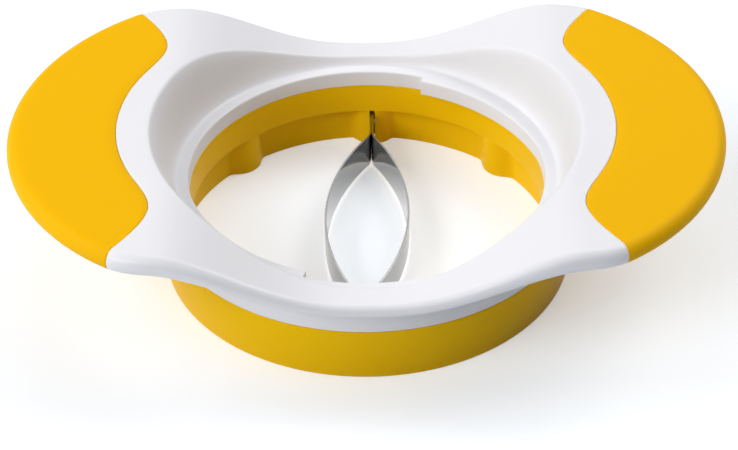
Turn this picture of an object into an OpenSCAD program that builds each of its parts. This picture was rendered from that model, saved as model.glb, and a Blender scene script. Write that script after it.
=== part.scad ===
// Mango pitter: a winged frame on a twist-off ring that holds an almond-shaped stone cutter.
// Millimetres. The axis of the ring is Z, the wings lie along X, and the ring stands on Z = 0.

/* [Ring] */
// Clear diameter of the opening
opening_d = 95.2; // [86:0.2:106]
// Radial thickness of the lock ring
lock_wall = 3.3; // [3:0.1:4.5]
// Radial thickness of the blade ring at its foot
ring_wall = 4.1; // [3.6:0.1:6]
// How much wider the blade ring is at its top than at its foot
ring_draft = 1; // [0:0.1:1.6]
// Height of the blade ring
ring_h = 15.5; // [14:0.5:20]
// How far the lock ring reaches down inside the blade ring
lock_drop = 4; // [3:0.1:4.5]
// How far the lock ring stands up inside the collar
lock_rise = 5; // [4.8:0.1:8]
// Radius of the half-round screw bosses
screw_boss_r = 6.4; // [4.5:0.1:7]
// Radius of the half-round slotted bosses
blade_boss_r = 6.6; // [6:0.1:9]

/* [Twist lock] */
// Angle at which the locked ring holds its blades, from square to the wings
ring_turn = -2.1; // [-5:0.1:5]
// Angle turned to free the ring
lock_turn = 35; // [20:1:45]
// Angle covered by one lug
lug_span = 22; // [12:1:26]
// How far a lug stands out of the lock ring
lug_w = 1.8; // [1.2:0.1:2.2]
// Thickness of a lug
lug_h = 1.9; // [1.2:0.1:2]
// Thickness of the shelf under a lug
shelf_h = 1.8; // [1.4:0.1:2.2]
// Angle of the step in the rim, where the ring comes free
step_angle = 70; // [60:1:80]
// Angle over which the pad in the rim runs out
pad_span = 58; // [40:1:70]
// Thickness of the pad at its step
pad_t = 2.2; // [0.8:0.1:3]

/* [Blades] */
// Thickness of the blade strip
blade_t = 0.5; // [0.4:0.1:1.2]
// Height of the blade strip
blade_h = 10; // [7:0.5:10.5]
// Height of the cutting edge above the foot of the ring
blade_lift = 0.8; // [0.2:0.1:1.4]
// Width of the stone cutter, outside
almond_w = 23; // [18:0.2:30]
// Length of the stone cutter
almond_l = 73.8; // [64:0.2:78]
// Radius of the bend into each blade tail
bend_r = 6; // [3:0.5:8]
// Height of the ground bevel
grind_h = 1.8; // [0.8:0.1:3]
// Width left at the cutting edge
edge_t = 0.12; // [0.08:0.01:0.2]
// Diameter of the cross pins in the blade tails
pin_d = 2; // [1.6:0.1:2.6]
// Height of the cross pins above the foot of the ring
pin_z = 6.5; // [4:0.5:7.5]

/* [Frame] */
// Height of the rim above the lock ring
rim_h = 4.5; // [3.6:0.1:7]
// Width of the rim, from the opening to the foot of the funnel
rim_w = 4.2; // [3.6:0.1:5]
// Radius of the rim's inner edge
rim_fillet = 0.6; // [0.3:0.1:1]
// Slope of the funnel wall
funnel_angle = 75; // [66:1:80]
// Softness of the hollow at the foot of the funnel
valley_blend = 5; // [3:0.5:5]
// Softness of the funnel's crest at the wings
crest_wing = 5; // [3:0.5:8]
// Softness of the funnel's crest at the front and back
crest_mid = 1.5; // [1:0.5:3]
// Height of the deck above the rim at the front and back
mid_rise = 2.2; // [1.8:0.1:5]
// Height of the wings above the rim
wing_rise = 16.3; // [12:0.1:22]
// Distance from the axis at which the wings reach their full height
rise_l = 54; // [48:1:60]
// How late the wings start to rise, 1 for a plain S-curve
rise_bow = 1.4; // [1:0.1:2]
// Radius of the rounded lip at the front and back
lip_r = 1.9; // [1.6:0.1:3.4]
// Radius of the rounded edge of the wings, half their thickness
wing_edge_r = 3; // [2.6:0.1:5]
// How far the lip stands out past the collar
lip_out = 4.8; // [3.8:0.1:7]
// Plan radius of the front and back edges
side_arc_r = 455; // [300:5:800]
// How far the wings reach out past the collar
wing_l = 38.4; // [32:0.1:50]
// How much larger the plan radius of the wing tip is than half the frame's depth
tip_bulge = 4.7; // [2:0.1:8]
// Plan radius of the wing's corners
corner_arc_r = 19; // [12:1:32]
// How far the collar's top lies above the foot of the frame's neck
neck_lap = 2.3; // [1.8:0.1:3]

/* [Grips] */
// Length of a grip from its waist to the wing tip
grip_l = 28.8; // [24:0.1:29.6]
// Radius of the grip's hollow inner edge
grip_arc_r = 51.5; // [46:0.5:56]
// Angle between the X axis and the corner where a grip meets the wing's edge
grip_half_a = 40.5; // [37:0.1:42]
// Direction of the grip's horns in plan
horn_dir = 51; // [48:1:60]
// Thickness of the grip over the core
grip_skin = 1.8; // [1.4:0.1:2.4]

/* [Screws] */
// Diameter of the ring screws
ring_screw_d = 2.2; // [1.8:0.1:2.4]
// Diameter of the ring screws' heads
ring_head_d = 4.2; // [3.4:0.1:4.4]
// Height of the seat of the ring screws' heads
ring_seat_z = 4; // [3:0.5:6]
// Diameter of the collar screws
collar_screw_d = 2.9; // [2.5:0.1:3.2]
// Diameter of the collar screws' heads
collar_head_d = 5.4; // [4.6:0.1:5.8]
// Height of all screw heads
head_h = 1.6; // [1.2:0.1:2]
// Angle of the collar screws from the X axis
collar_screw_a = 25; // [20:1:28]
// Thickness of the collar's ears
ear_t = 2.6; // [2:0.1:3.4]
// How far a collar screw reaches up into its post
post_bite = 8; // [6:0.5:9]

/* [Fits] */
// Clearance between pieces that are fastened together
part_gap = 0.1; // [0.05:0.01:0.15]
// Radial clearance of the ring that turns in the collar
run_gap = 0.1; // [0.05:0.01:0.1]
// Clearance of lugs and shoulders that pass each other
lug_gap = 0.2; // [0.15:0.05:0.3]

/* [Hidden] */
$fn = 96;
over = 1;

WHITE = "#f1f0f3";
YELLOW = "#f5b915";
STEEL = "#b9bcc0";

// Radii and heights of the ring
band_r = opening_d / 2;
lock_r = band_r + lock_wall;
wall_r = lock_r + run_gap;
foot_r = wall_r + ring_wall;
ring_r = foot_r + ring_draft;
boss_h = ring_h - lock_drop;
lock_top = ring_h + lock_rise;
screw_in = 0.3;
screw_r = lock_r - screw_in;
screw_angles = [for (i = [0:3]) ring_turn + 45 + 90 * i];
slot_angles = [for (a = [90, 270]) ring_turn + a];
ear_wall = 1.5;
ear_r = ring_screw_d / 2 + ear_wall;
pilot_room = 1;
pilot_top = ring_h - pilot_room;
tip_room = 0.3;

// Heights of the collar and the frame
collar_foot = ring_h + lug_gap;
neck_foot = lock_top + part_gap;
collar_top = neck_foot + neck_lap;
ear_top = collar_top - part_gap;
seat_z = collar_top + part_gap;
rim_z = neck_foot + rim_h;
lug_z = collar_foot + shelf_h + lug_gap;
lug_angle = step_angle - lock_turn;
track_play = 1;
lip_drop = 0.6;
hem_r = ring_r + part_gap;

// Plan of the frame: the line of the edge's centre
funnel_foot_r = band_r + rim_w;
mid_r = ring_r + lip_out - lip_r;
tip_arc_r = mid_r + tip_bulge;
tip_x = ring_r + wing_l - wing_edge_r - tip_arc_r;
side_centre = side_arc_r - mid_r;

// Centre of the corner's arc, which runs into the tip's arc and the side's arc
tip_reach = tip_arc_r - corner_arc_r;
side_reach = side_arc_r - corner_arc_r;
centre_gap = norm([tip_x, side_centre]);
along = (pow(tip_reach, 2) - pow(side_reach, 2) + pow(centre_gap, 2)) / (2 * centre_gap);
across = sqrt(pow(tip_reach, 2) - pow(along, 2));
corner_x = tip_x + (across * side_centre - along * tip_x) / centre_gap;
corner_y = -(along * side_centre + across * tip_x) / centre_gap;
side_end_a = atan2(corner_y + side_centre, corner_x);
corner_end_a = atan2(side_arc_r * sin(side_end_a) - side_centre, side_arc_r * cos(side_end_a));
tip_end_a = atan2(corner_y, corner_x - tip_x);
tip_end_x = tip_x + tip_arc_r * cos(tip_end_a);
tip_end_y = tip_arc_r * sin(tip_end_a);
tip_polar_a = atan2(tip_end_y, tip_end_x);

// Plan of the grips: the hollow inner edge and the horn
grip_waist_x = ring_r + wing_l - grip_l;
grip_arc_x = grip_waist_x - grip_arc_r;
horn_in = 2.3;
horn_end_r = edge_r(grip_half_a) - horn_in;
horn_d = horn_end_r * sin(horn_dir - grip_half_a);
horn_blend = 34.5;
core_half = wing_edge_r - grip_skin;

// Screw posts under the wings
post_wall = 1.8;
post_r = collar_screw_d / 2 + post_wall;
post_room = 1;
post_at = ring_r + post_r + post_room;
post_top = edge_z(post_at * cos(collar_screw_a));
post_angles = [collar_screw_a, 180 - collar_screw_a, 180 + collar_screw_a, -collar_screw_a];

// Plan of a blade: a long arc, a tight bend at each end and straight tails
tail_gap = 0.04;
tail_x = (blade_t + tail_gap) / 2;
almond_rise = almond_w / 2 - blade_t / 2 - tail_x;
arc_r = (pow(almond_l / 2, 2) + pow(almond_rise, 2)) / (2 * almond_rise);
arc_x = tail_x + almond_rise - arc_r;
bend_x = tail_x + bend_r;
bend_y = sqrt(pow(arc_r + bend_r, 2) - pow(bend_x - arc_x, 2));
arc_a = atan2(bend_y, bend_x - arc_x);
tail_bite = 1.6;
tail_end = wall_r + tail_bite;
slot_play = 0.2;
slot_w = 2 * (tail_x + blade_t / 2 + slot_play);
pin_y = (band_r + tail_end) / 2;
pin_cover = 0.8;
pin_half_l = sqrt(pow(blade_boss_r, 2) - pow(band_r + blade_boss_r - pin_y + pin_d / 2, 2)) - pin_cover;

function mix(a, b, t) = a + (b - a) * t;
function ease(t) = let (u = min(max(t, 0), 1)) u * u * (3 - 2 * u);
function soft_min(a, b, k) = min(a, b) - pow(max(k - abs(a - b), 0), 2) / (4 * k);
function soft_max(a, b, k) = -soft_min(-a, -b, k);

// Distance along a ray from the axis to a circle in plan
function ray_to_circle(c, s, x, y, r) = let (p = x * c + y * s) p + sqrt(p * p - x * x - y * y + r * r);

// Line of the centre of the rounded edge, as a radius at each angle
function edge_r(a) =
    let (c = abs(cos(a)), s = abs(sin(a)), q = atan2(s, c))
    q < tip_polar_a ? ray_to_circle(c, s, tip_x, 0, tip_arc_r)
    : q < corner_end_a ? ray_to_circle(c, s, corner_x, corner_y, corner_arc_r)
    : ray_to_circle(c, s, 0, -side_centre, side_arc_r);

// Direction in plan that is square to that line
normal_step = 0.1;
function edge_dir(a) =
    let (slope = (edge_r(a + normal_step) - edge_r(a - normal_step)) / (2 * normal_step) * 180 / PI)
    a - atan(slope / edge_r(a));

// The edge climbs from the lip at the front and back to the wings
function climb(x) = pow(ease(abs(x) / rise_l), rise_bow);
function edge_round(x) = mix(lip_r, wing_edge_r, climb(x));
function deck_z(x) = rim_z + mix(mid_rise, wing_rise, climb(x));
function edge_z(x) = deck_z(x) - edge_round(x);
function wing_foot(x) = edge_z(x) - edge_round(x);

// Top of the frame: the deck, cut by the funnel, which runs out into the rim
function funnel_z(r) = soft_max(rim_z, rim_z + (r - funnel_foot_r) * tan(funnel_angle), valley_blend);
function crest(x) = mix(crest_mid, crest_wing, climb(x));
function top_z(r, a) = let (x = r * cos(a)) soft_min(deck_z(x), funnel_z(r), crest(x));

// Underside of the frame: the wings' lower face and the back of the funnel, down to the hem of the collar
function back_z(r) = seat_z - lip_drop + (r - hem_r) * tan(funnel_angle);
function under_z(r, a) =
    let (x = r * cos(a))
    soft_min(wing_foot(x), back_z(r), crest_mid);

// Inner edge of a grip, as a radius at each angle
function grip_r(a) =
    let (c = abs(cos(a)), s = abs(sin(a)))
    min(
        soft_max(
            ray_to_circle(c, s, grip_arc_x, 0, grip_arc_r),
            horn_d / sin(horn_dir - atan2(s, c)),
            horn_blend
        ),
        edge_r(a) - deck_min
    );

// Radius of the rim's inner wall, with the two pads that run out from their steps
function pad(a) =
    let (q = step_angle - a, back = q - 360 * floor(q / 360), turn = back % 180)
    turn < pad_span ? pad_t * (1 - pow(turn / pad_span, 2)) : 0;

// Radii at which the funnel's curves start and end, on its top and on its back
valley_r = funnel_foot_r - valley_blend / tan(funnel_angle);
crest_end_r = funnel_foot_r + (wing_rise + crest_wing) / tan(funnel_angle);
wing_under_z = rim_z + wing_rise - 2 * wing_edge_r;
back_end_r = hem_r + (wing_under_z + crest_mid - seat_z + lip_drop) / tan(funnel_angle);
deck_min = 0.6;

// The rounded edge of the frame at one angle, from its top to its underside
edge_steps = 9;
function rounded_edge(a) =
    let (r = edge_r(a), x = r * cos(a), round_r = edge_round(x))
    [
        for (i = [0:edge_steps])
            let (t = 90 - 180 * i / edge_steps)
            [r, edge_z(x) + round_r * sin(t), round_r * cos(t)]
    ];

// A section of the frame at one angle, as points of radius, height and distance out past the edge line
top_steps = 8;
out_steps = 3;
fillet_in = 1 - cos(45);
function spread(r0, r1, n) = [for (i = [0:n - 1]) mix(r0, r1, i / n)];
function section(a, gripped) =
    let (
        rim_r = band_r - pad(a),
        end_r = gripped ? grip_r(a) : edge_r(a),
        crest_r = min(crest_end_r, end_r - deck_min),
        back_r = min(back_end_r, end_r - deck_min),
        core_end = edge_r(a),
        core_z = edge_z(core_end * cos(a)),
        core_top = core_z + core_half,
        core_foot = core_z - core_half
    )
    concat(
        [
            [rim_r, neck_foot],
            [rim_r, rim_z - rim_fillet],
            [rim_r + fillet_in * rim_fillet, rim_z - fillet_in * rim_fillet],
            [rim_r + rim_fillet, rim_z]
        ],
        [for (r = spread(valley_r, crest_r, top_steps)) [r, top_z(r, a)]],
        [for (r = spread(crest_r, end_r, out_steps)) [r, top_z(r, a)]],
        gripped
        ? concat(
            [[end_r, top_z(end_r, a)], [end_r, core_top]],
            [for (t = [1 / 3, 2 / 3, 1]) [mix(end_r, core_end, t), core_top]],
            [for (t = [1, 2 / 3, 1 / 3]) [mix(end_r, core_end, t), core_foot]],
            [[end_r, core_foot], [end_r, under_z(end_r, a)]]
        )
        : rounded_edge(a),
        [for (t = [1 / 2, 1]) let (r = mix(end_r, back_r, t)) [r, under_z(r, a)]],
        [for (t = [1 / 4, 1 / 2, 3 / 4, 1]) let (r = mix(back_r, hem_r, t)) [r, under_z(r, a)]],
        [[hem_r, seat_z], [lock_r, seat_z], [lock_r, neck_foot]]
    );

// Angles of the sections, with a close pair at each end of a grip and at each step of the rim
pair = 0.12;
function fan(a0, a1, n) = [for (i = [0:n]) mix(a0, a1, i / n)];
grip_fan = 22;
half_fans = [
    [fan(-grip_half_a, grip_half_a, grip_fan), true],
    [fan(grip_half_a + pair, step_angle - pair, 8), false],
    [fan(step_angle + pair, 180 - grip_half_a - pair, 18), false]
];
frame_sections = [for (turn = [0, 180]) for (f = half_fans) for (a = f[0]) [a + turn, f[1]]];

// A point of a section in space
function at(a, p) =
    let (out = len(p) > 2 ? p[2] : 0, d = edge_dir(a))
    [p[0] * cos(a) + out * cos(d), p[0] * sin(a) + out * sin(d), p[1]];

// Skin of a row of sections: each section is a closed loop of n points
function skin_faces(rows, n, closed) = [
    for (j = [0:rows - (closed ? 1 : 2)]) for (i = [0:n - 1])
        let (k = (j + 1) % rows, m = (i + 1) % n, a = j * n + i, b = j * n + m, c = k * n + i, d = k * n + m)
        for (f = [[a, c, d], [a, d, b]]) f
];

module frame_shell() {
    loops = [for (s = frame_sections) [for (p = section(s[0], s[1])) at(s[0], p)]];
    n = len(loops[0]);
    polyhedron([for (l = loops) for (p = l) p], skin_faces(len(loops), n, true));
}

module handle_frame() color(WHITE) {
    difference() {
        union() {
            frame_shell();
            for (a = post_angles)
                rotate(a)
                    translate([post_at, 0, seat_z])
                        cylinder(r = post_r, h = post_top - seat_z);
        }
        for (a = post_angles)
            rotate(a)
                translate([post_at, 0, seat_z - over])
                    cylinder(d = collar_screw_d + part_gap, h = post_bite + pilot_room + over);
    }
}

// A grip's section: the outer skin from the top of its inner edge round to the bottom, then the core
function grip_section(a) =
    let (
        r0 = grip_r(a) + part_gap,
        r1 = edge_r(a),
        z = edge_z(r1 * cos(a)),
        hole = core_half + part_gap,
        outer = concat(
            [for (t = [0, 1 / 2]) let (r = mix(r0, r1, t)) [r, deck_z(r * cos(a))]],
            rounded_edge(a),
            [for (t = [1 / 2, 0]) let (r = mix(r0, r1, t)) [r, wing_foot(r * cos(a))]]
        ),
        half = len(outer) / 2,
        inner = concat(
            [for (i = [0:half - 1]) [mix(r0, r1 + part_gap, i / (half - 1)), z + hole]],
            [for (i = [0:half - 1]) [mix(r1 + part_gap, r0, i / (half - 1)), z - hole]]
        )
    )
    [outer, inner];

module right_grip_shell() {
    angles = fan(-grip_half_a, grip_half_a, grip_fan);
    halves = [for (a = angles) grip_section(a)];
    k = len(halves[0][0]);
    n = 2 * k;
    points = [
        for (j = [0:len(angles) - 1]) for (i = [0:n - 1])
            at(angles[j], i < k ? halves[j][0][i] : halves[j][1][n - 1 - i])
    ];
    last = (len(angles) - 1) * n;
    caps = [
        for (i = [0:k - 2])
            let (a = i, b = i + 1, c = n - 2 - i, d = n - 1 - i)
            for (f = [
                [a, b, c], [a, c, d],
                [last + a, last + c, last + b], [last + a, last + d, last + c]
            ]) f
    ];
    polyhedron(points, concat(skin_faces(len(angles), n, false), caps));
}

module right_grip() color(YELLOW) right_grip_shell();
module left_grip() color(YELLOW) mirror([1, 0, 0]) right_grip_shell();

// A ring segment about the axis
module ring_arc(r0, r1, z0, z1, from, span) {
    rotate(from)
        translate([0, 0, z0])
            rotate_extrude(angle = span)
                translate([r0, 0])
                    square([r1 - r0, z1 - z0]);
}

module tube(r0, r1, z0, z1) {
    translate([0, 0, z0])
        difference() {
            cylinder(r = r1, h = z1 - z0);
            translate([0, 0, -over])
                cylinder(r = r0, h = z1 - z0 + 2 * over);
        }
}

// The collar: a plain skirt with two bayonet tracks and four ears for its screws
module collar() color(WHITE) {
    track_r = lock_r + lug_w + lug_gap;
    track_from = lug_angle - lug_span / 2 - track_play;
    entry_from = step_angle - lug_span / 2 - 2 * track_play;
    difference() {
        union() {
            tube(wall_r, ring_r, collar_foot, collar_top);
            for (a = post_angles)
                rotate(a)
                    collar_ear();
        }
        for (turn = [0, 180]) {
            ring_arc(
                wall_r - over, track_r, lug_z - lug_gap, lug_z + lug_h + lug_gap,
                track_from + turn, lock_turn + lug_span + 2 * track_play
            );
            ring_arc(
                wall_r - over, track_r + part_gap, collar_foot - over, lug_z + lug_h / 2,
                entry_from + turn, lug_span + 4 * track_play
            );
        }
    }
}

module collar_ear() {
    root_r = (wall_r + ring_r) / 2 + lug_w / 2;
    translate([0, 0, ear_top - ear_t])
        difference() {
            union() {
                translate([post_at, 0, 0])
                    cylinder(r = post_r, h = ear_t);
                translate([root_r, -post_r, 0])
                    cube([post_at - root_r, 2 * post_r, ear_t]);
            }
            translate([post_at, 0, -over])
                cylinder(d = collar_screw_d + 2 * part_gap, h = ear_t + 2 * over);
        }
}

// A half-round boss inside the blade ring, flush with the lock ring above it
module boss(r, angle) {
    rotate(angle)
        intersection() {
            translate([band_r + r, 0, 0])
                cylinder(r = r, h = boss_h);
            cylinder(r = (wall_r + foot_r) / 2, h = boss_h);
        }
}

module blade_ring() color(YELLOW) {
    difference() {
        union() {
            rotate_extrude()
                polygon([[wall_r, 0], [foot_r, 0], [ring_r, ring_h], [wall_r, ring_h]]);
            for (a = screw_angles)
                boss(screw_boss_r, a);
            for (a = slot_angles)
                boss(blade_boss_r, a);
        }
        for (a = screw_angles)
            rotate(a)
                translate([screw_r, 0, 0]) {
                    translate([0, 0, -over])
                        cylinder(d = ring_head_d + 2 * part_gap, h = ring_seat_z + over);
                    cylinder(d = ring_screw_d + 2 * part_gap, h = ring_h);
                    translate([0, 0, boss_h])
                        cylinder(r = ear_r + part_gap, h = lock_drop + over);
                }
        for (a = slot_angles)
            rotate(a) {
                translate([band_r - over, -slot_w / 2, -over])
                    cube([tail_end + part_gap - band_r + over, slot_w, boss_h + 2 * over]);
                translate([pin_y, 0, pin_z])
                    rotate([90, 0, 0])
                        cylinder(d = pin_d + part_gap / 2, h = 2 * (pin_half_l + part_gap), center = true);
            }
    }
}

// The lock ring: a plain band with ears for the screws and two bayonet lugs
module lock_ring() color(YELLOW) {
    difference() {
        union() {
            tube(band_r, lock_r, boss_h, lock_top);
            for (a = screw_angles)
                rotate(a)
                    translate([screw_r, 0, boss_h + part_gap])
                        cylinder(r = ear_r, h = lock_drop - 2 * part_gap);
            for (turn = [0, 180])
                ring_arc(
                    lock_r - lock_wall / 2, lock_r + lug_w, lug_z, lug_z + lug_h,
                    lug_angle - lug_span / 2 + turn, lug_span
                );
        }
        for (a = screw_angles)
            rotate(a)
                translate([screw_r, 0, boss_h - over])
                    cylinder(d = ring_screw_d + part_gap, h = pilot_top - boss_h + over);
    }
}

// Line of a blade in plan from back to front: points with the direction of the blade's outer side
bend_steps = 8;
arc_steps = 30;
function turned(x, y, r, a, dir) = [x + r * cos(a), y + r * sin(a), dir];
blade_line = concat(
    [[tail_x, tail_end, 0]],
    [for (a = fan(0, arc_a, bend_steps)) turned(bend_x, bend_y, bend_r, 180 + a, a)],
    [for (a = fan(arc_a, -arc_a, arc_steps)) if (abs(a) < arc_a) turned(arc_x, 0, arc_r, a, a)],
    [for (a = fan(-arc_a, 0, bend_steps)) turned(bend_x, -bend_y, bend_r, 180 + a, a)],
    [[tail_x, -tail_end, 0]]
);

// Section of the blade strip, ground on its outer side, as points of distance out and height
strip = [
    [-blade_t / 2, 0], [edge_t - blade_t / 2, 0], [blade_t / 2, grind_h],
    [blade_t / 2, blade_h], [-blade_t / 2, blade_h]
];

module blade() {
    rows = len(blade_line);
    n = len(strip);
    points = [
        for (q = blade_line) for (p = strip)
            [q[0] + p[0] * cos(q[2]), q[1] + p[0] * sin(q[2]), blade_lift + p[1]]
    ];
    ends = [[for (i = [0:n - 1]) i], [for (i = [1:n]) rows * n - i]];
    difference() {
        polyhedron(points, concat(skin_faces(rows, n, false), ends));
        for (side = [-1, 1])
            translate([0, side * pin_y, pin_z])
                rotate([0, 90, 0])
                    cylinder(d = pin_d + 2 * part_gap, h = 2 * (blade_t + over), center = true);
    }
}

module right_blade() color(STEEL) rotate(ring_turn) blade();
module left_blade() color(STEEL) rotate(ring_turn) mirror([1, 0, 0]) blade();

module blade_pin(side) {
    color(STEEL)
        rotate(ring_turn)
            translate([0, side * pin_y, pin_z])
                rotate([0, 90, 0])
                    cylinder(d = pin_d, h = 2 * pin_half_l, center = true);
}

module front_blade_pin() blade_pin(-1);
module rear_blade_pin() blade_pin(1);

// A pan-head screw with a cross recess, its head below the seat at Z = 0
module screw(d, head_d, bite) {
    recess_w = head_d / 6;
    recess_l = 0.6 * head_d;
    recess_deep = 0.6 * head_h;
    color(STEEL)
        difference() {
            union() {
                translate([0, 0, -head_h])
                    cylinder(d = head_d, h = head_h);
                translate([0, 0, -head_h / 2])
                    cylinder(d = d, h = bite + head_h / 2);
            }
            for (turn = [0, 90])
                rotate(turn)
                    translate([-recess_l / 2, -recess_w / 2, -head_h - over])
                        cube([recess_l, recess_w, recess_deep + over]);
        }
}

module ring_screw(angle) {
    rotate(ring_turn + angle)
        translate([screw_r, 0, ring_seat_z])
            screw(ring_screw_d, ring_head_d, pilot_top - ring_seat_z - tip_room);
}

module collar_screw(angle) {
    rotate(angle)
        translate([post_at, 0, ear_top - ear_t])
            screw(collar_screw_d, collar_head_d, ear_t + post_bite);
}

module ring_screw_front_left() ring_screw(225);
module ring_screw_front_right() ring_screw(315);
module ring_screw_back_left() ring_screw(135);
module ring_screw_back_right() ring_screw(45);
module collar_screw_front_left() collar_screw(180 + collar_screw_a);
module collar_screw_front_right() collar_screw(-collar_screw_a);
module collar_screw_back_left() collar_screw(180 - collar_screw_a);
module collar_screw_back_right() collar_screw(collar_screw_a);

handle_frame();
collar();
left_grip();
right_grip();
blade_ring();
lock_ring();
left_blade();
right_blade();
front_blade_pin();
rear_blade_pin();
ring_screw_front_left();
ring_screw_front_right();
ring_screw_back_left();
ring_screw_back_right();
collar_screw_front_left();
collar_screw_front_right();
collar_screw_back_left();
collar_screw_back_right();
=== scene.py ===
"""Mango pitter: a winged frame with soft grips, on a twist-off ring that holds the stone cutter.

Sizes are in millimetres and angles in degrees. A finished piece is brought to metres, in the
frame of the solids.
"""

import math

import bmesh
import bpy
from mathutils import Matrix, Vector


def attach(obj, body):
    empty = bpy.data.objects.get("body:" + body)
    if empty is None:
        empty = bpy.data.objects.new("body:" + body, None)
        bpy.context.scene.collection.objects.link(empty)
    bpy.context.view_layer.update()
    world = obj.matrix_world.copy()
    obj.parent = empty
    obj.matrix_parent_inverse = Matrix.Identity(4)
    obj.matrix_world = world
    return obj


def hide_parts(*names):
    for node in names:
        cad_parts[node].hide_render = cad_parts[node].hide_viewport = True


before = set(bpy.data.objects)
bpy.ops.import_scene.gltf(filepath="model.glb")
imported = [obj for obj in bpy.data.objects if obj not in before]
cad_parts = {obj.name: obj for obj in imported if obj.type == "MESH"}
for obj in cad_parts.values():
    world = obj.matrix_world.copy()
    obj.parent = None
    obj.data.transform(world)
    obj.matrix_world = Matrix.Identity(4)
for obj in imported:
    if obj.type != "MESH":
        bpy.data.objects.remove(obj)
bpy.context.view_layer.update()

MM = 0.001

# Ring
band_r = 47.6
lock_r = 50.9
wall_r = 51.0
foot_r = 55.1
ring_r = 56.1
ring_h = 15.5
boss_h = 11.5
lock_top = 20.5
screw_boss_r = 6.4
blade_boss_r = 6.6
screw_boss_blend = 1.8
blade_boss_blend = 0.8
joint_fine = 0.04
joint_soft = 0.45
ledge_rise = 0.05
wall_play = 0.02
slot_half = 0.72
slot_end = 52.7
screw_r = 50.6
ring_turn = -2.1
screw_angles = [ring_turn + a for a in (45, 135, 225, 315)]
slot_angles = [ring_turn + a for a in (90, 270)]
ring_head_d = 4.2
ring_seat_z = 4.0
hole_past = 2.0

# Twist lock
lug_z = 17.7
lug_h = 1.9
lug_w = 1.8
lug_span = 22
lug_gap = 0.2
lock_turn = 35
step_angle = 70
pad_span = 58
pad_t = 2.2
ear_r = 2.6
track_play = 1

# Collar
collar_foot = 15.7
collar_top = 22.9
ear_t = 2.6
ear_root = 1.2
part_gap = 0.1
post_r = 3.25
post_at = 60.35
post_angles = [25, 155, 205, 335]
collar_screw_d = 2.9
post_bite = 8.0
drill_tip = 1.0

# Frame
neck_foot = 20.6
seat_z = 23.0
rim_z = 25.1
rim_fillet = 0.6
hem_r = 56.2
lip_drop = 0.6
funnel_foot_r = 51.8
funnel_slope = math.tan(math.radians(75))
valley_blend = 5.0
crest_wing = 5.0
crest_mid = 1.5
under_blend = 4.0
mid_rise = 2.2
wing_rise = 16.3
rise_l = 54.0
rise_bow = 1.4
lip_r = 1.9
wing_edge_r = 3.0
mid_r = 59.0
side_arc_r = 455.0
tip_x = 27.8
tip_arc_r = 63.7
corner_arc_r = 19.0

# Grips
grip_half_a = 40.5
grip_arc_x = 14.2
grip_arc_r = 51.5
horn_dir = 51
horn_in = 2.3
horn_blend = 34.5
core_half = 1.2
seam_r = 0.22
cap_end = 0.5

# Blades
blade_t = 0.5
blade_h = 10.0
blade_lift = 0.8
grind_h = 1.0
edge_t = 0.12
tail_x = 0.27
tail_end = 52.6
almond_half_w = 11.5
almond_half_l = 36.9
bend_r = 6.0

# Roundings of edges, from crisp to soft, and the least gaps between points
tip_edge = 0.03
strip_edge = 0.1
crisp_edge = 0.2
fine_edge = 0.3
top_edge = 0.35
soft_edge = 0.4
drill_edge = 0.5
hair = 0.01
merge_gap = 0.001
tiny = 1e-6

# Rows and columns of the meshes
edge_steps = 21
rim_rows = 4
funnel_rows = 30
deck_rows = 8
under_rows = 6
back_rows = 12
cap_rows = 9
hole_rows = 6
cap_columns = 110
frame_step = 0.8
ring_step = 0.75
seam_near = (0.02, 0.07, 0.15)
step_near = 0.06
cap_near = (0, 0.05, 0.11, 0.17)
post_steps = 40
ear_steps = 48
tail_steps = 2
bend_steps = 14
arc_steps = 90
halvings = 24

# Camera that took the picture
view_elevation = 37.48
view_roll = -0.67
view_distance = 605.9
view_right = 0.39
view_up = 5.28
view_lens = 107.6
sensor_w = 36

# Studio: places and lamp sizes in metres, powers in watts
floor_half = 3
floor_drop = 0.05
paper_lift = 0.4
paper_fibre = 2
lamp_size = 0.7
lamp_aim = (0, 0, 0.02)
lamps = [
    ("front_left", (-0.75, -0.7, 0.7), 7.8),
    ("front", (-0.15, -0.75, 1.0), 0.6),
    ("left", (-0.9, 0.2, 0.7), 5.2),
    ("low_left", (-1.1, -0.3, 0.3), 0.8),
    ("right", (0.7, 0.42, 0.88), 6.8),
    ("back", (0, 0.65, 1.05), 2.5),
]


# Shapes

def cosd(a):
    return math.cos(math.radians(a))


def sind(a):
    return math.sin(math.radians(a))


def mix(a, b, t):
    return a + (b - a) * t


def ease(t):
    u = min(max(t, 0), 1)
    return u * u * (3 - 2 * u)


def soft_min(a, b, k):
    return min(a, b) - max(k - abs(a - b), 0) ** 2 / (4 * k)


def soft_max(a, b, k):
    return -soft_min(-a, -b, k)


def spread(start, end, count):
    """Evenly spaced values, without the end."""
    return [mix(start, end, i / count) for i in range(count)]


def ray_to_circle(c, s, x, y, r):
    """Distance from the axis along a ray in plan to the far side of a circle."""
    p = x * c + y * s
    return p + math.sqrt(max(p * p - x * x - y * y + r * r, 0))


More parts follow.
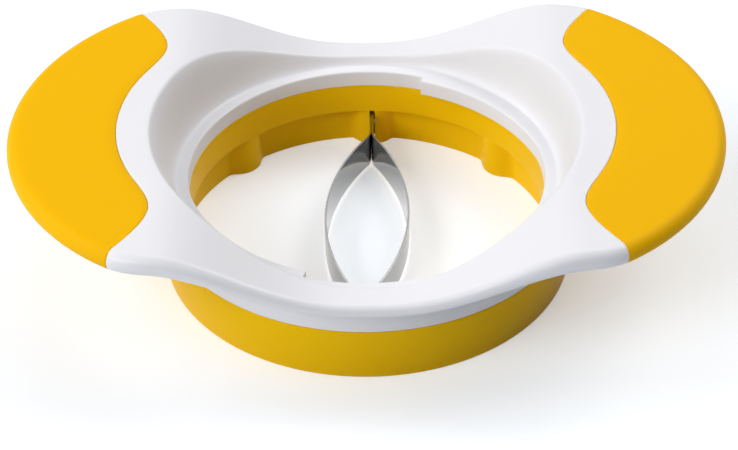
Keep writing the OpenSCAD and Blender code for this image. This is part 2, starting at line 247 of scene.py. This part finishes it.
# Centre of the corner's arc, which runs into the tip's arc and the side's arc
side_centre = side_arc_r - mid_r
tip_reach = tip_arc_r - corner_arc_r
side_reach = side_arc_r - corner_arc_r
centre_gap = math.hypot(tip_x, side_centre)
along = (tip_reach ** 2 - side_reach ** 2 + centre_gap ** 2) / (2 * centre_gap)
across = math.sqrt(tip_reach ** 2 - along ** 2)
corner_x = tip_x + (across * side_centre - along * tip_x) / centre_gap
corner_y = -(along * side_centre + across * tip_x) / centre_gap
side_end_a = math.atan2(corner_y + side_centre, corner_x)
corner_end_a = math.degrees(
    math.atan2(side_arc_r * math.sin(side_end_a) - side_centre, side_arc_r * math.cos(side_end_a))
)
tip_end_a = math.atan2(corner_y, corner_x - tip_x)
tip_polar_a = math.degrees(
    math.atan2(tip_arc_r * math.sin(tip_end_a), tip_x + tip_arc_r * math.cos(tip_end_a))
)


def quarter(a):
    """Angle from the X axis, folded into one quarter turn."""
    return math.degrees(math.atan2(abs(sind(a)), abs(cosd(a))))


def edge_r(a):
    """Line of the centre of the frame's rounded edge, as a radius at each angle."""
    q = quarter(a)
    c, s = cosd(q), sind(q)
    if q < tip_polar_a:
        return ray_to_circle(c, s, tip_x, 0, tip_arc_r)
    if q < corner_end_a:
        return ray_to_circle(c, s, corner_x, corner_y, corner_arc_r)
    return ray_to_circle(c, s, 0, -side_centre, side_arc_r)


def edge_dir(a, step=0.1):
    """Direction in plan that is square to the edge line."""
    slope = (edge_r(a + step) - edge_r(a - step)) / math.radians(2 * step)
    return a - math.degrees(math.atan(slope / edge_r(a)))


def climb(x):
    return ease(abs(x) / rise_l) ** rise_bow


def edge_round(x):
    return mix(lip_r, wing_edge_r, climb(x))


def deck_z(x):
    return rim_z + mix(mid_rise, wing_rise, climb(x))


def edge_z(x):
    return deck_z(x) - edge_round(x)


def wing_foot(x):
    return edge_z(x) - edge_round(x)


def top_z(r, a):
    """Top of the frame: the deck, cut by the funnel, which runs out into the rim."""
    x = r * cosd(a)
    funnel = soft_max(rim_z, rim_z + (r - funnel_foot_r) * funnel_slope, valley_blend)
    return soft_min(deck_z(x), funnel, mix(crest_mid, crest_wing, climb(x)))


def under_z(r, a):
    """Underside of the frame: the wings' lower face and the back of the funnel."""
    x = r * cosd(a)
    back = seat_z - lip_drop + (r - hem_r) * funnel_slope
    return soft_min(wing_foot(x), back, under_blend)


horn_d = (edge_r(grip_half_a) - horn_in) * sind(horn_dir - grip_half_a)


def grip_r(a):
    """Inner edge of a grip, as a radius at each angle: a hollow arc that swells to two horns."""
    q = quarter(a)
    hollow = ray_to_circle(cosd(q), sind(q), grip_arc_x, 0, grip_arc_r)
    return soft_max(hollow, horn_d / sind(horn_dir - q), horn_blend)


def pad(a):
    """How far the two pads stand in from the rim's inner wall."""
    turn = (step_angle - a) % 180
    return pad_t * (1 - (turn / pad_span) ** 2) if turn < pad_span else 0


def within(a, start, span):
    """Whether an angle lies in a span, or in its copy half a turn away."""
    return (a - start) % 180 < span


# Meshes

def fillet(d, r):
    """Depth of a corner rounded to radius r below the square one, at a distance d from its side."""
    return r - math.sqrt(max(r * r - (r - min(d, r)) ** 2, 0))


def rounded(corners, steps=4):
    """A closed outline of (radius, height, rounding) corners, with the rounded ones as arcs."""
    points = []
    for i, (x, z, r) in enumerate(corners):
        here = Vector((x, z))
        if r == 0:
            points.append(here)
            continue
        sides = [Vector(corners[j][:2]) - here for j in (i - 1, (i + 1) % len(corners))]
        start, end = [here + side * min(r / max(side.length, tiny), 0.5) for side in sides]
        for k in range(steps + 1):
            t = k / steps
            points.append(start * (1 - t) ** 2 + here * 2 * t * (1 - t) + end * t ** 2)
    return points


def columns(step, cuts, near=(step_near,)):
    """Angles round a full turn, with close pairs at each cut, where a section changes at once."""
    reach = max(near) + step / 4
    plain = [i * step for i in range(round(360 / step))]
    clear = [a for a in plain if all(abs((a - c + 180) % 360 - 180) > reach for c in cuts)]
    return sorted(clear + [(c + side * d) % 360 for c in cuts for d in near for side in (-1, 1)])


def wind(sections, closed=True):
    """A skin over a row of sections: a plain loop is spun, and its copies take their places."""
    bm = bmesh.new()
    count = len(sections[0])
    loop = [bm.verts.new((1, 0, k)) for k in range(count)]
    edges = [bm.edges.new((loop[k - 1], loop[k])) for k in range(count)]
    steps = len(sections) if closed else len(sections) - 1
    turn = math.tau if closed else math.pi
    bmesh.ops.spin(
        bm, geom=loop + edges, cent=(0, 0, 0), axis=(0, 0, 1), angle=turn, steps=steps,
        use_merge=closed,
    )
    for v in bm.verts:
        row = round(math.atan2(v.co.y, v.co.x) % math.tau * steps / turn)
        v.co = sections[row % len(sections)][round(v.co.z)]
    if not closed:
        bmesh.ops.holes_fill(bm, edges=[e for e in bm.edges if e.is_boundary], sides=0)
    return bm


def turned(points, a):
    """Points of radius, height and distance out past the edge line, put in space at an angle."""
    d = edge_dir(a)
    made = []
    for p in points:
        r, z, out = p[0], p[1], p[2] if len(p) > 2 else 0
        made.append(Vector((r * cosd(a) + out * cosd(d), r * sind(a) + out * sind(d), z)))
    return made


def piece(name, bm, body, material, node, sharp):
    """Makes a mesh an object in metres that rides on a body, in place of its solid."""
    bmesh.ops.remove_doubles(bm, verts=bm.verts, dist=merge_gap)
    bmesh.ops.recalc_face_normals(bm, faces=bm.faces)
    bmesh.ops.scale(bm, vec=(MM, MM, MM), verts=bm.verts)
    for face in bm.faces:
        face.smooth = True
    for edge in bm.edges:
        edge.smooth = len(edge.link_faces) == 2 and edge.calc_face_angle(0) < math.radians(sharp)
    mesh = bpy.data.meshes.new(name)
    bm.to_mesh(mesh)
    bm.free()
    obj = bpy.data.objects.new(name, mesh)
    bpy.context.scene.collection.objects.link(obj)
    mesh.materials.append(material)
    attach(obj, body)
    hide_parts(node)


def turn_about(bm, a):
    """Turns a mesh about the ring's axis."""
    turn = Matrix.Rotation(math.radians(a), 3, "Z")
    bmesh.ops.rotate(bm, cent=(0, 0, 0), matrix=turn, verts=bm.verts)


def join(bm, other):
    """Adds another mesh's faces to a mesh."""
    mesh = bpy.data.meshes.new("join")
    other.to_mesh(mesh)
    other.free()
    bm.from_mesh(mesh)
    bpy.data.meshes.remove(mesh)


def cut(bm, cutters):
    """Cuts the cutters' shapes out of a mesh."""
    made = []
    for source in (bm, cutters):
        bmesh.ops.recalc_face_normals(source, faces=source.faces)
        mesh = bpy.data.meshes.new("cut")
        source.to_mesh(mesh)
        source.free()
        obj = bpy.data.objects.new("cut", mesh)
        bpy.context.scene.collection.objects.link(obj)
        made.append(obj)
    modifier = made[0].modifiers.new("cut", "BOOLEAN")
    modifier.object = made[1]
    modifier.operation = "DIFFERENCE"
    modifier.solver = "EXACT"
    graph = bpy.context.evaluated_depsgraph_get()
    shape = bpy.data.meshes.new_from_object(made[0].evaluated_get(graph))
    result = bmesh.new()
    result.from_mesh(shape)
    for obj in made:
        mesh = obj.data
        bpy.data.objects.remove(obj)
        bpy.data.meshes.remove(mesh)
    bpy.data.meshes.remove(shape)
    return result


# Materials

def linear(hex_colour):
    """An sRGB hex colour as linear red, green, blue and alpha."""
    shares = [int(hex_colour[i:i + 2], 16) / 255 for i in (1, 3, 5)]
    return [s / 12.92 if s <= 0.04045 else ((s + 0.055) / 1.055) ** 2.4 for s in shares] + [1]


def add(tree, kind, inputs=(), **settings):
    """Adds a node with its settings, and sets or links its inputs."""
    made = tree.nodes.new(kind)
    for key, value in settings.items():
        setattr(made, key, value)
    for key, value in dict(inputs).items():
        if isinstance(value, bpy.types.NodeSocket):
            tree.links.new(value, made.inputs[key])
        else:
            made.inputs[key].default_value = value
    return made


def per_metre(size_mm):
    """Scale of a pattern whose features are this many millimetres wide."""
    return 1 / (size_mm * MM)


def new_material(name):
    material = bpy.data.materials.new(name)
    material.use_nodes = True
    material.node_tree.nodes.clear()
    return material, material.node_tree


# The grain of the moulds and the lines of the steel are finer in life: they are drawn coarse
# enough to show in the render
cloud_size = 30
flow_size = 8
line_length = 40
line_depth = 0.002
line_gloss = 0.06


def moulded(name, light, dark, roughness, gloss_change, grain_size, grain_depth, ior, specular):
    """Moulded plastic or rubber: a faintly cloudy colour, uneven gloss and a fine eroded grain."""
    material, tree = new_material(name)
    place = add(tree, "ShaderNodeTexCoord").outputs["Object"]
    cloud = add(
        tree, "ShaderNodeTexNoise",
        {"Vector": place, "Scale": per_metre(cloud_size), "Detail": 3.0, "Roughness": 0.5},
    ).outputs["Fac"]
    colour = add(tree, "ShaderNodeMix", {"Factor": cloud}, data_type="RGBA")
    colour.inputs["A"].default_value = linear(light)
    colour.inputs["B"].default_value = linear(dark)
    flow = add(
        tree, "ShaderNodeTexNoise",
        {"Vector": place, "Scale": per_metre(flow_size), "Detail": 4.0, "Roughness": 0.6},
    ).outputs["Fac"]
    gloss = add(
        tree, "ShaderNodeMapRange",
        {"Value": flow, "To Min": roughness - gloss_change, "To Max": roughness + gloss_change},
    ).outputs["Result"]
    grain = add(
        tree, "ShaderNodeTexNoise",
        {"Vector": place, "Scale": per_metre(grain_size), "Detail": 2.0},
    ).outputs["Fac"]
    bump = add(
        tree, "ShaderNodeBump", {"Height": grain, "Distance": grain_depth * MM, "Strength": 1.0}
    ).outputs["Normal"]
    shader = add(
        tree, "ShaderNodeBsdfPrincipled",
        {
            "Base Color": colour.outputs[2], "Roughness": gloss, "Normal": bump, "IOR": ior,
            "Specular IOR Level": specular,
        },
    )
    add(tree, "ShaderNodeOutputMaterial", {"Surface": shader.outputs["BSDF"]})
    return material


def drawn_steel(name, light, dark, roughness, line_size):
    """Rolled or drawn steel: long fine level lines, with a slightly streaked mirror."""
    material, tree = new_material(name)
    place = add(tree, "ShaderNodeTexCoord").outputs["Object"]
    along = add(
        tree, "ShaderNodeMapping",
        {
            "Vector": place,
            "Scale": (per_metre(line_length), per_metre(line_length), per_metre(line_size)),
        },
    ).outputs["Vector"]
    lines = add(
        tree, "ShaderNodeTexNoise",
        {"Vector": along, "Scale": 1.0, "Detail": 3.0, "Roughness": 0.6},
    ).outputs["Fac"]
    colour = add(tree, "ShaderNodeMix", {"Factor": lines}, data_type="RGBA")
    colour.inputs["A"].default_value = linear(light)
    colour.inputs["B"].default_value = linear(dark)
    gloss = add(
        tree, "ShaderNodeMapRange",
        {"Value": lines, "To Min": roughness - line_gloss, "To Max": roughness + line_gloss},
    ).outputs["Result"]
    bump = add(
        tree, "ShaderNodeBump", {"Height": lines, "Distance": line_depth * MM, "Strength": 1.0}
    ).outputs["Normal"]
    shader = add(
        tree, "ShaderNodeBsdfPrincipled",
        {"Base Color": colour.outputs[2], "Roughness": gloss, "Normal": bump, "Metallic": 1.0},
    )
    add(tree, "ShaderNodeOutputMaterial", {"Surface": shader.outputs["BSDF"]})
    return material


# White ABS from a satin mould: wide soft highlights on a clean, slightly cool white
white_abs = moulded(
    "white_abs", "#f1f1f5", "#ececf0", roughness=0.34, gloss_change=0.03,
    grain_size=0.5, grain_depth=0.002, ior=1.53, specular=0.4,
)
# Yellow thermoplastic rubber, moulded on: a dull, warm skin with almost no mirror
yellow_rubber = moulded(
    "yellow_rubber", "#fabe00", "#f7ba00", roughness=0.52, gloss_change=0.04,
    grain_size=0.4, grain_depth=0.006, ior=1.5, specular=0.07,
)
# Yellow ABS from a satin mould: a full golden yellow that stays clean in the shade
yellow_abs = moulded(
    "yellow_abs", "#fac700", "#f6c200", roughness=0.42, gloss_change=0.03,
    grain_size=0.5, grain_depth=0.002, ior=1.53, specular=0.07,
)
# Cold-rolled stainless strip: a grey mirror, clear enough to show the floor's edge, finely lined
blade_steel = drawn_steel("blade_steel", "#b2b2b1", "#a0a09f", roughness=0.15, line_size=0.25)
# Zinc-plated steel: a paler, cloudier shine on the screws and pins
plated_steel = drawn_steel("plated_steel", "#c9cacc", "#a9abad", roughness=0.32, line_size=0.3)


# Frame

seam_shares = (1, 0.3, 0)
core_steps = (edge_steps - 2 * len(seam_shares) - 1) // 2
deck_min = 0.6
valley_in = 0.3
valley_r = funnel_foot_r - valley_blend / funnel_slope
crest_end_r = funnel_foot_r + (wing_rise + crest_wing) / funnel_slope
back_rise = rim_z + wing_rise - 2 * wing_edge_r + under_blend - seat_z + lip_drop
back_end_r = hem_r + back_rise / funnel_slope


def rounded_edge(a, sink):
    """The frame's rounded edge at one angle, from its top to its underside, drawn in by sink."""
    r = edge_r(a)
    x = r * cosd(a)
    size = edge_round(x) - sink
    turns = [90 - 180 * i / edge_steps for i in range(edge_steps + 1)]
    return [(r, edge_z(x) + size * sind(t), size * cosd(t)) for t in turns]


def cut_sink(a):
    """How far the skin is drawn in beside the cut across the edge, where a grip ends."""
    return fillet(math.radians(abs(quarter(a) - grip_half_a)) * edge_r(a), seam_r)


def core_step(a):
    """The frame's side of the seam with a grip, and the core that carries the grip."""
    r, end = grip_r(a), edge_r(a)
    top, under = top_z(r, a), under_z(r, a)
    z = edge_z(end * cosd(a))
    shares = [i / core_steps for i in range(core_steps + 1)]
    return (
        [(r - seam_r * s, top - fillet(seam_r * s, seam_r)) for s in seam_shares]
        + [(mix(r, end, t), z + core_half) for t in shares]
        + [(mix(end, r, t), z - core_half) for t in shares]
        + [(r - seam_r * s, under + fillet(seam_r * s, seam_r)) for s in reversed(seam_shares)]
    )


def frame_section(a):
    gripped = quarter(a) < grip_half_a
    rim_r = band_r - pad(a)
    end_r = grip_r(a) if gripped else edge_r(a)
    last_r = end_r - 2 * seam_r
    crest_r = min(crest_end_r, end_r - deck_min)
    back_r = min(back_end_r, end_r - deck_min)
    arc = [rim_fillet * i / rim_rows for i in range(rim_rows + 1)]
    above = [valley_r - valley_in] + spread(valley_r, crest_r, funnel_rows)
    above += spread(crest_r, last_r, deck_rows) + [last_r]
    below = spread(last_r, back_r, under_rows) + spread(back_r, hem_r, back_rows) + [hem_r]
    points = [(rim_r, neck_foot)]
    points += [(rim_r + d, rim_z - fillet(d, rim_fillet)) for d in arc]
    points += [(r, top_z(r, a)) for r in above]
    points += core_step(a) if gripped else rounded_edge(a, cut_sink(a))
    points += [(r, under_z(r, a)) for r in below]
    points += [(hem_r, seat_z), (lock_r, seat_z), (lock_r, neck_foot)]
    return turned(points, a)


grip_cuts = [grip_half_a, 180 - grip_half_a, 180 + grip_half_a, 360 - grip_half_a]
rim_cuts = [step_angle, step_angle + 180]


def post(a):
    """A screw post under a wing, with its pilot hole."""
    bm = bmesh.new()
    hole_r = collar_screw_d / 2
    top, bottom = edge_z(post_at * cosd(a)), seat_z + post_bite
    outline = rounded([
        (hole_r, seat_z, fine_edge), (post_r, seat_z, soft_edge), (post_r, top, 0),
        (hair, top, 0), (hair, bottom + drill_tip, 0), (hole_r, bottom, drill_edge),
    ])
    loop = [bm.verts.new((p.x, 0, p.y)) for p in outline]
    edges = [bm.edges.new((loop[k - 1], loop[k])) for k in range(len(loop))]
    bmesh.ops.spin(
        bm, geom=loop + edges, cent=(0, 0, 0), axis=(0, 0, 1), angle=math.tau, steps=post_steps,
        use_merge=True,
    )
    bmesh.ops.translate(bm, vec=(post_at * cosd(a), post_at * sind(a), 0), verts=bm.verts)
    return bm


def make_frame():
    seams = columns(frame_step, grip_cuts, seam_near)
    steps = [c + side * step_near for c in rim_cuts for side in (-1, 1)]
    bm = wind([frame_section(a) for a in sorted(seams + steps)])
    for a in post_angles:
        join(bm, post(a))
    piece("frame", bm, "handle", white_abs, "handle_frame", sharp=50)


# Grips

def grip_section(a):
    r0, r1 = grip_r(a) + part_gap, edge_r(a)
    z = edge_z(r1 * cosd(a))
    sink = cut_sink(a)
    hole = core_half + part_gap
    seam = [(r0 + seam_r * s, fillet(seam_r * s, seam_r)) for s in reversed(seam_shares)]
    deck = spread(r0 + seam_r, r1, cap_rows)[1:]
    core = spread(r0, r1 + part_gap, hole_rows) + [r1 + part_gap]
    outer = [(r, deck_z(r * cosd(a)) - sink - d) for r, d in seam]
    outer += [(r, deck_z(r * cosd(a)) - sink) for r in deck]
    outer += rounded_edge(a, sink)
    outer += [(r, wing_foot(r * cosd(a)) + sink) for r in reversed(deck)]
    outer += [(r, wing_foot(r * cosd(a)) + sink + d) for r, d in reversed(seam)]
    inner = [(r, z - hole) for r in core] + [(r, z + hole) for r in reversed(core)]
    return turned(outer + inner, a)


def make_grip(name, mirrored):
    last = grip_half_a - cap_end
    ends = [side * (grip_half_a - d) for d in cap_near for side in (-1, 1)]
    angles = sorted(ends + spread(-last, last, cap_columns) + [last])
    bm = wind([grip_section(a) for a in angles], closed=False)
    if mirrored:
        bmesh.ops.scale(bm, vec=(-1, 1, 1), verts=bm.verts)
    node = name.replace("_cap", "_grip")
    piece(name, bm, "handle", yellow_rubber, node, sharp=50)


# Ring

slot_a = math.degrees(slot_half / band_r)


def boss_gap(r, a, centre, boss_r):
    """Distance in plan from a point to a half-round boss."""
    turn = a - centre
    return math.hypot(r * cosd(turn) - band_r - boss_r, r * sind(turn)) - boss_r


def inner_r(a):
    """The ring's inner wall: plain between the bosses, which run out into it in soft hollows."""
    if within(a, slot_angles[0] - slot_a, 2 * slot_a):
        return slot_end
    bosses = [(c, screw_boss_r, screw_boss_blend) for c in screw_angles]
    bosses += [(c, blade_boss_r, blade_boss_blend) for c in slot_angles]
    centre, boss_r, blend = min(bosses, key=lambda b: abs((a - b[0] + 180) % 360 - 180))
    free, wall = band_r - 1, wall_r - wall_play
    for _ in range(halvings):
        r = (free + wall) / 2
        if soft_min(boss_gap(r, a, centre, boss_r), wall_r - r, blend) > 0:
            free = r
        else:
            wall = r
    return wall


def joint_round(a):
    """Rounding of the edges between band and ring: fine on a boss, where the two lie flush."""
    return mix(joint_fine, joint_soft, ease((inner_r(a) - band_r) / (wall_r - band_r)))


def ring_section(a):
    inside = inner_r(a)
    ledge_r, ledge_z = min(inside, wall_r - wall_play), boss_h + ledge_rise
    return turned(rounded([
        (inside, 0, fine_edge), (foot_r, 0, soft_edge), (ring_r, ring_h, top_edge),
        (wall_r, ring_h, fine_edge), (wall_r, ledge_z, 0), (ledge_r, ledge_z, 0),
        (inside, boss_h, joint_round(a) / 2),
    ]), a)


def make_ring():
    slots = [c + d for c in slot_angles for d in (-slot_a, slot_a)]
    bm = wind([ring_section(a) for a in columns(ring_step, slots)])
    holes = bmesh.new()
    hole_r, middle_z = ring_head_d / 2 + part_gap, (ring_seat_z - hole_past) / 2
    for a in screw_angles:
        place = Matrix.Translation((screw_r * cosd(a), screw_r * sind(a), middle_z))
        bmesh.ops.create_cone(
            holes, cap_ends=True, segments=post_steps, radius1=hole_r, radius2=hole_r,
            depth=ring_seat_z + hole_past, matrix=place,
        )
    piece("ring", cut(bm, holes), "base", yellow_abs, "blade_ring", sharp=35)


lug_from = step_angle - lock_turn - lug_span / 2


def lug_reach(a):
    """Outer radius of the band at the height of its two lugs."""
    return lock_r + (lug_w if within(a, lug_from, lug_span) else hair)


def ear_reach(a):
    """Outer radius of the band at the height of its four ears, which take the ring screws."""
    best = lock_r + hair
    for centre in screw_angles:
        turn = (a - centre + 180) % 360 - 180
        if abs(turn) < 90 and ear_r > abs(screw_r * sind(turn)):
            best = max(best, ray_to_circle(cosd(turn), sind(turn), screw_r, 0, ear_r))
    return best


def band_section(a):
    lug, ear = lug_reach(a), ear_reach(a)
    low, high = boss_h + part_gap, ring_h - part_gap
    lug_top = lug_z + lug_h
    return turned(rounded([
        (band_r, boss_h, joint_round(a)), (lock_r, boss_h, 0), (lock_r, low, 0), (ear, low, 0),
        (ear, high, 0), (lock_r, high, 0), (lock_r, lug_z, 0), (lug, lug_z, crisp_edge),
        (lug, lug_top, crisp_edge), (lock_r, lug_top, 0), (lock_r, lock_top, fine_edge),
        (band_r, lock_top, soft_edge),
    ]), a)


def make_band():
    cuts = [lug_from, lug_from + lug_span, lug_from + 180, lug_from + lug_span + 180]
    bm = wind([band_section(a) for a in columns(ring_step, cuts)])
    piece("lock_band", bm, "base", yellow_abs, "lock_ring", sharp=35)


# Collar

track_r = lock_r + lug_w + lug_gap
track_from = lug_from - track_play
track_span = lock_turn + lug_span + 2 * track_play
entry_from = lug_from + lock_turn - 2 * track_play
entry_span = lug_span + 4 * track_play


def collar_section(a):
    """The skirt, with a track for each lug and an entry up into it."""
    track = track_r if within(a, track_from, track_span) else wall_r + hair
    shelf = track_r if within(a, entry_from, entry_span) else wall_r
    depth = max(track, shelf)
    low, high = lug_z - lug_gap, lug_z + lug_h + lug_gap
    return turned(rounded([
        (ring_r, collar_foot, soft_edge), (ring_r, collar_top, fine_edge),
        (wall_r, collar_top, crisp_edge), (wall_r, high, 0), (depth, high, 0),
        (depth + hair, low, 0), (shelf, low, 0), (shelf, collar_foot, crisp_edge),
    ]), a)


def collar_ear(a):
    """A flat ear on the collar, round at its end, with a screw hole."""
    bm = bmesh.new()
    root = post_at - ring_r + ear_root
    hole_r = collar_screw_d / 2 + part_gap
    outline = bmesh.ops.create_circle(bm, segments=ear_steps, radius=post_r)["verts"]
    bmesh.ops.create_circle(bm, segments=ear_steps, radius=hole_r)
    for v in outline:
        if v.co.x < 0:
            reach = max(-v.co.x, abs(v.co.y)) / post_r
            v.co = Vector((v.co.x / reach * root / post_r, v.co.y / reach, 0))
    faces = bmesh.ops.bridge_loops(bm, edges=bm.edges[:])["faces"]
    walls = bmesh.ops.extrude_face_region(bm, geom=faces)["geom"]
    top = [g for g in walls if isinstance(g, bmesh.types.BMVert)]
    bmesh.ops.translate(bm, vec=(0, 0, ear_t), verts=top)
    bmesh.ops.translate(bm, vec=(post_at, 0, collar_top - part_gap - ear_t), verts=bm.verts)
    turn_about(bm, a)
    return bm


def make_collar():
    ends = [track_from, track_from + track_span, entry_from, entry_from + entry_span]
    ends += [a + 180 for a in ends]
    bm = wind([collar_section(a) for a in columns(frame_step, ends)])
    for a in post_angles:
        join(bm, collar_ear(a))
    piece("skirt", bm, "handle", white_abs, "collar", sharp=35)


# Blades

def make_blade(name, mirrored):
    """A strip spun round its bends: a tail, a tight bend, the long arc, a bend and a tail."""
    rise = almond_half_w - blade_t / 2 - tail_x
    arc_r = (almond_half_l ** 2 + rise ** 2) / (2 * rise)
    arc_x = tail_x + rise - arc_r
    bend_x = tail_x + bend_r
    bend_y = math.sqrt((arc_r + bend_r) ** 2 - (bend_x - arc_x) ** 2)
    arc_a = math.atan2(bend_y, bend_x - arc_x)
    half = blade_t / 2
    outline = rounded([
        (-half, 0, tip_edge), (edge_t - half, 0, tip_edge), (half, grind_h, crisp_edge),
        (half, blade_h, strip_edge), (-half, blade_h, strip_edge),
    ], steps=3)
    bm = bmesh.new()
    loop = [bm.verts.new((tail_x + p.x, tail_end, blade_lift + p.y)) for p in outline]
    geom = loop + [bm.edges.new((loop[k - 1], loop[k])) for k in range(len(loop))]
    start = [g for g in geom if isinstance(g, bmesh.types.BMEdge)]
    still, move = (0, 0, 0), (0, (bend_y - tail_end) / tail_steps, 0)
    runs = [
        (0, tail_steps, still, move),
        (arc_a, bend_steps, (bend_x, bend_y, 0), still),
        (-2 * arc_a, arc_steps, (arc_x, 0, 0), still),
        (arc_a, bend_steps, (bend_x, -bend_y, 0), still),
        (0, tail_steps, still, move),
    ]
    for angle, steps, centre, shift in runs:
        geom = bmesh.ops.spin(
            bm, geom=geom, cent=centre, axis=(0, 0, 1), angle=angle, steps=steps, dvec=shift,
            use_duplicate=False,
        )["geom_last"]
    for rim in (start, [g for g in geom if isinstance(g, bmesh.types.BMEdge)]):
        bmesh.ops.contextual_create(bm, geom=rim)
    if mirrored:
        bmesh.ops.scale(bm, vec=(-1, 1, 1), verts=bm.verts)
    turn_about(bm, ring_turn)
    piece(name + "_strip", bm, "base", blade_steel, name, sharp=30)


make_frame()
make_grip("left_cap", True)
make_grip("right_cap", False)
make_ring()
make_band()
make_collar()
make_blade("left_blade", True)
make_blade("right_blade", False)

for name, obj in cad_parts.items():
    if "screw" in name or "pin" in name:
        obj.data.materials.clear()
        obj.data.materials.append(plated_steel)


# Floor, light and camera

def seen_ray(tree):
    """1 on the rays by which the camera sees a surface, also in a mirror, and 0 on all others."""
    ray = add(tree, "ShaderNodeLightPath")
    mirror = add(
        tree, "ShaderNodeMath",
        {0: ray.outputs["Is Glossy Ray"], 1: ray.outputs["Is Transmission Ray"]},
        operation="MAXIMUM",
    ).outputs[0]
    return add(
        tree, "ShaderNodeMath", {0: ray.outputs["Is Camera Ray"], 1: mirror}, operation="MAXIMUM"
    ).outputs[0]


def white_paper():
    """Pale paper that the camera and mirrors see lighter than it is lit, so that it reads white."""
    material, tree = new_material("white_paper")
    place = add(tree, "ShaderNodeTexCoord").outputs["Object"]
    fibre = add(
        tree, "ShaderNodeTexNoise",
        {"Vector": place, "Scale": per_metre(paper_fibre), "Detail": 3.0},
    ).outputs["Fac"]
    tone = add(tree, "ShaderNodeMix", {"Factor": fibre}, data_type="RGBA")
    tone.inputs["A"].default_value = linear("#e1e7ee")
    tone.inputs["B"].default_value = linear("#dee4eb")
    glow = add(
        tree, "ShaderNodeMath", {0: seen_ray(tree), 1: paper_lift}, operation="MULTIPLY"
    ).outputs[0]
    paper = add(tree, "ShaderNodeBsdfDiffuse", {"Color": tone.outputs[2]}).outputs["BSDF"]
    light = add(tree, "ShaderNodeEmission", {"Strength": glow}).outputs["Emission"]
    both = add(tree, "ShaderNodeAddShader", {0: paper, 1: light}).outputs["Shader"]
    add(tree, "ShaderNodeOutputMaterial", {"Surface": both})
    return material


def make_floor():
    bm = bmesh.new()
    bmesh.ops.create_grid(bm, x_segments=1, y_segments=1, size=floor_half)
    bmesh.ops.translate(bm, vec=(0, 0, -floor_drop * MM), verts=bm.verts)
    mesh = bpy.data.meshes.new("floor")
    bm.to_mesh(mesh)
    bm.free()
    floor = bpy.data.objects.new("floor", mesh)
    mesh.materials.append(white_paper())
    bpy.context.scene.collection.objects.link(floor)


def softbox(name, place, power):
    """A square lamp that faces the pitter."""
    lamp = bpy.data.lights.new(name, "AREA")
    lamp.shape = "SQUARE"
    lamp.size = lamp_size
    lamp.energy = power
    obj = bpy.data.objects.new(name, lamp)
    obj.location = place
    facing = Vector(lamp_aim) - Vector(place)
    obj.rotation_euler = facing.to_track_quat("-Z", "Y").to_euler()
    bpy.context.scene.collection.objects.link(obj)


def make_world():
    """White all round for the camera and mirrors, which gives no light of its own."""
    world = bpy.data.worlds.new("studio")
    bpy.context.scene.world = world
    world.use_nodes = True
    tree = world.node_tree
    tree.nodes.clear()
    white = {"Color": linear("#ffffff"), "Strength": seen_ray(tree)}
    sky = add(tree, "ShaderNodeBackground", white).outputs[0]
    add(tree, "ShaderNodeOutputWorld", {"Surface": sky})


def make_camera():
    data = bpy.data.cameras.new("camera")
    data.sensor_width = sensor_w
    data.lens = view_lens
    camera = bpy.data.objects.new("camera", data)
    c, s = cosd(view_elevation), sind(view_elevation)
    forward, level, upright = Vector((0, c, -s)), Vector((1, 0, 0)), Vector((0, s, c))
    right = level * cosd(view_roll) + upright * sind(view_roll)
    up = upright * cosd(view_roll) - level * sind(view_roll)
    camera.location = (right * view_right + up * view_up - forward * view_distance) * MM
    camera.rotation_euler = Matrix((right, up, -forward)).transposed().to_euler()
    bpy.context.scene.collection.objects.link(camera)
    bpy.context.scene.camera = camera


make_floor()
make_world()
for name, place, power in lamps:
    softbox(name, place, power)
make_camera()
bpy.context.scene.view_settings.view_transform = "Standard"
